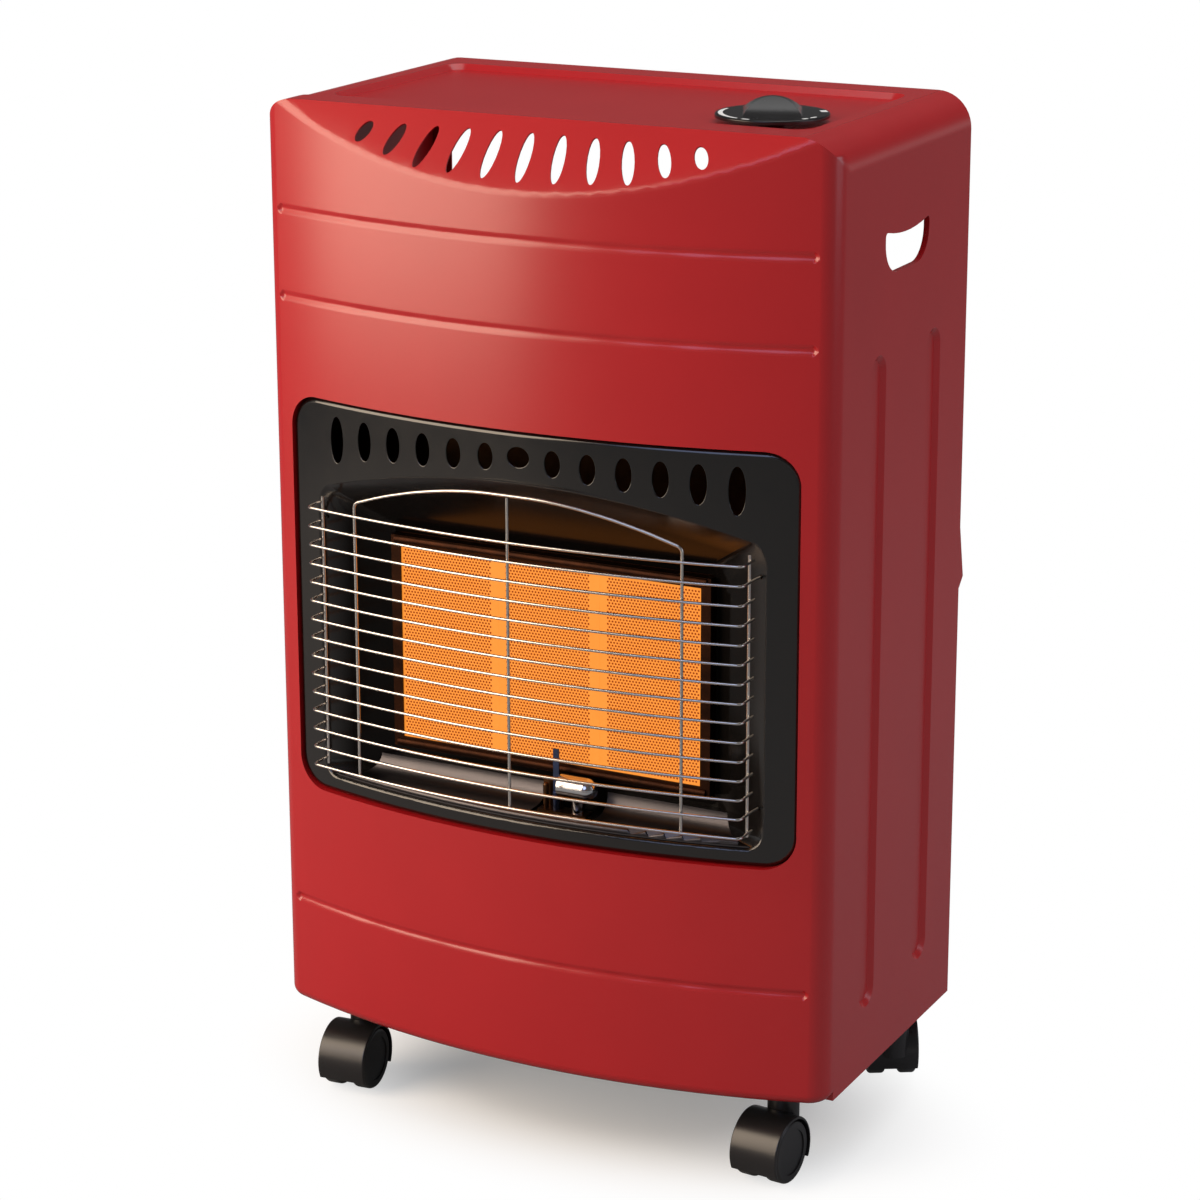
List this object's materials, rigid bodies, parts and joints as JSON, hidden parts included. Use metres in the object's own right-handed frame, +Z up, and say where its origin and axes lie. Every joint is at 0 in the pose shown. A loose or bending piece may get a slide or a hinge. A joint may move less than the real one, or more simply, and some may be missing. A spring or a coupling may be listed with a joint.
{
  "type": "portable infrared gas cabinet heater",
  "caption": "Floor-standing gas cabinet heater with a bowed red front, glowing ceramic plaques behind a wire guard, top control knob, swing-out rear cover and swivel casters.",
  "frame": {"origin": "on the floor under the middle of the heater's bounding box", "axes": "+X to the right as seen from the front, +Y to the back, +Z up; the bowed front faces -Y"},
  "size_m": [0.42, 0.2935, 0.7291],
  "materials": {
    "red_powder_coat": "satin powder coat",
    "black_enamel": "gloss heat-proof enamel",
    "galvanised_steel": "plain galvanised sheet",
    "polished_steel": "polished",
    "heat_tinted_steel": "browned by heat",
    "chromed_wire": "bright plated wire",
    "glowing_ceramic": "matt, perforated, glowing in use",
    "gasket_fibre": "soft fibre",
    "pressed_aluminium": "as pressed",
    "yellow_brass": "plain",
    "black_plastic": "fine moulded grain",
    "caster_plastic": "smooth moulded",
    "zinc_steel": "zinc plated"
  },
  "bodies": {
    "cabinet": {"front_panel": "red_powder_coat", "cabinet_shell": "red_powder_coat", "burner_surround": "black_enamel", "base_plate": "galvanised_steel", "base_screws": "galvanised_steel", "hinge_pins": "galvanised_steel", "heat_shield": "galvanised_steel", "injector_bracket": "galvanised_steel", "valve_hanger": "galvanised_steel", "valve_nut": "galvanised_steel", "reflector_tray": "polished_steel", "pilot_burner": "polished_steel", "plaque_frame": "heat_tinted_steel", "spark_electrode": "heat_tinted_steel", "thermocouple": "heat_tinted_steel", "pilot_bracket": "heat_tinted_steel", "guard_cross_wires": "chromed_wire", "guard_portal_wire": "chromed_wire", "guard_centre_upright": "chromed_wire", "guard_side_uprights": "chromed_wire", "plaque_left": "glowing_ceramic", "plaque_centre": "glowing_ceramic", "plaque_right": "glowing_ceramic", "plaque_gaskets": "gasket_fibre", "burner_head_left": "pressed_aluminium", "burner_head_centre": "pressed_aluminium", "burner_head_right": "pressed_aluminium", "gas_valve": "pressed_aluminium", "injectors": "yellow_brass", "hose_inlet": "yellow_brass", "burner_pipe_left": "yellow_brass", "burner_pipe_centre": "yellow_brass", "burner_pipe_right": "yellow_brass", "pilot_pipe": "yellow_brass", "caster_sockets": "black_plastic"},
    "cover": {"rear_cover": "red_powder_coat"},
    "plug": {"valve_plug": "yellow_brass"},
    "knob": {"control_knob": "black_plastic", "valve_spindle": "polished_steel"},
    "swivel_front_left": {"caster_housing_front_left": "caster_plastic", "caster_stem_front_left": "zinc_steel", "caster_axle_front_left": "zinc_steel"},
    "wheel_front_left_a": {"caster_wheel_front_left_a": "caster_plastic"},
    "wheel_front_left_b": {"caster_wheel_front_left_b": "caster_plastic"},
    "swivel_front_right": {"caster_housing_front_right": "caster_plastic", "caster_stem_front_right": "zinc_steel", "caster_axle_front_right": "zinc_steel"},
    "wheel_front_right_a": {"caster_wheel_front_right_a": "caster_plastic"},
    "wheel_front_right_b": {"caster_wheel_front_right_b": "caster_plastic"},
    "swivel_rear_left": {"caster_housing_rear_left": "caster_plastic", "caster_stem_rear_left": "zinc_steel", "caster_axle_rear_left": "zinc_steel"},
    "wheel_rear_left_a": {"caster_wheel_rear_left_a": "caster_plastic"},
    "wheel_rear_left_b": {"caster_wheel_rear_left_b": "caster_plastic"},
    "swivel_rear_right": {"caster_housing_rear_right": "caster_plastic", "caster_stem_rear_right": "zinc_steel", "caster_axle_rear_right": "zinc_steel"},
    "wheel_rear_right_a": {"caster_wheel_rear_right_a": "caster_plastic"},
    "wheel_rear_right_b": {"caster_wheel_rear_right_b": "caster_plastic"}
  },
  "joints": [
    {"name": "rear_cover_swing", "type": "hinge", "parent": "cabinet", "child": "cover", "pos_m": [0, 0.13535, 0.07], "axis": [-1, 0, 0], "range_deg": [0, 70]},
    {"name": "knob_turn", "type": "hinge", "parent": "cabinet", "child": "plug", "pos_m": [0.131, -0.02175, 0.7], "axis": [0, 0, 1], "range_deg": [0, 210]},
    {"name": "knob_push", "type": "slide", "parent": "plug", "child": "knob", "axis": [0, 0, -1], "range_m": [0, 0.003], "stiffness_N_per_m": 1500, "springref_m": -0.004},
    {"name": "caster_swivel_front_left", "type": "hinge", "parent": "cabinet", "child": "swivel_front_left", "pos_m": [-0.166, -0.06175, 0.064], "axis": [0, 0, 1], "continuous": true},
    {"name": "wheel_spin_front_left_a", "type": "hinge", "parent": "swivel_front_left", "child": "wheel_front_left_a", "pos_m": [-0.16443, -0.07968, 0.022], "axis": [0.9962, 0.0872, 0], "continuous": true},
    {"name": "wheel_spin_front_left_b", "type": "hinge", "parent": "swivel_front_left", "child": "wheel_front_left_b", "pos_m": [-0.16443, -0.07968, 0.022], "axis": [0.9962, 0.0872, 0], "continuous": true},
    {"name": "caster_swivel_front_right", "type": "hinge", "parent": "cabinet", "child": "swivel_front_right", "pos_m": [0.166, -0.06175, 0.064], "axis": [0, 0, 1], "continuous": true},
    {"name": "wheel_spin_front_right_a", "type": "hinge", "parent": "swivel_front_right", "child": "wheel_front_right_a", "pos_m": [0.16443, -0.07968, 0.022], "axis": [0.9962, -0.0872, 0], "continuous": true},
    {"name": "wheel_spin_front_right_b", "type": "hinge", "parent": "swivel_front_right", "child": "wheel_front_right_b", "pos_m": [0.16443, -0.07968, 0.022], "axis": [0.9962, -0.0872, 0], "continuous": true},
    {"name": "caster_swivel_rear_left", "type": "hinge", "parent": "cabinet", "child": "swivel_rear_left", "pos_m": [-0.18, 0.10095, 0.064], "axis": [0, 0, 1], "continuous": true},
    {"name": "wheel_spin_rear_left_a", "type": "hinge", "parent": "swivel_rear_left", "child": "wheel_rear_left_a", "pos_m": [-0.171, 0.11654, 0.022], "axis": [-0.866, 0.5, 0], "continuous": true},
    {"name": "wheel_spin_rear_left_b", "type": "hinge", "parent": "swivel_rear_left", "child": "wheel_rear_left_b", "pos_m": [-0.171, 0.11654, 0.022], "axis": [-0.866, 0.5, 0], "continuous": true},
    {"name": "caster_swivel_rear_right", "type": "hinge", "parent": "cabinet", "child": "swivel_rear_right", "pos_m": [0.18, 0.10095, 0.064], "axis": [0, 0, 1], "continuous": true},
    {"name": "wheel_spin_rear_right_a", "type": "hinge", "parent": "swivel_rear_right", "child": "wheel_rear_right_a", "pos_m": [0.171, 0.11654, 0.022], "axis": [-0.866, -0.5, 0], "continuous": true},
    {"name": "wheel_spin_rear_right_b", "type": "hinge", "parent": "swivel_rear_right", "child": "wheel_rear_right_b", "pos_m": [0.171, 0.11654, 0.022], "axis": [-0.866, -0.5, 0], "continuous": true}
  ]
}
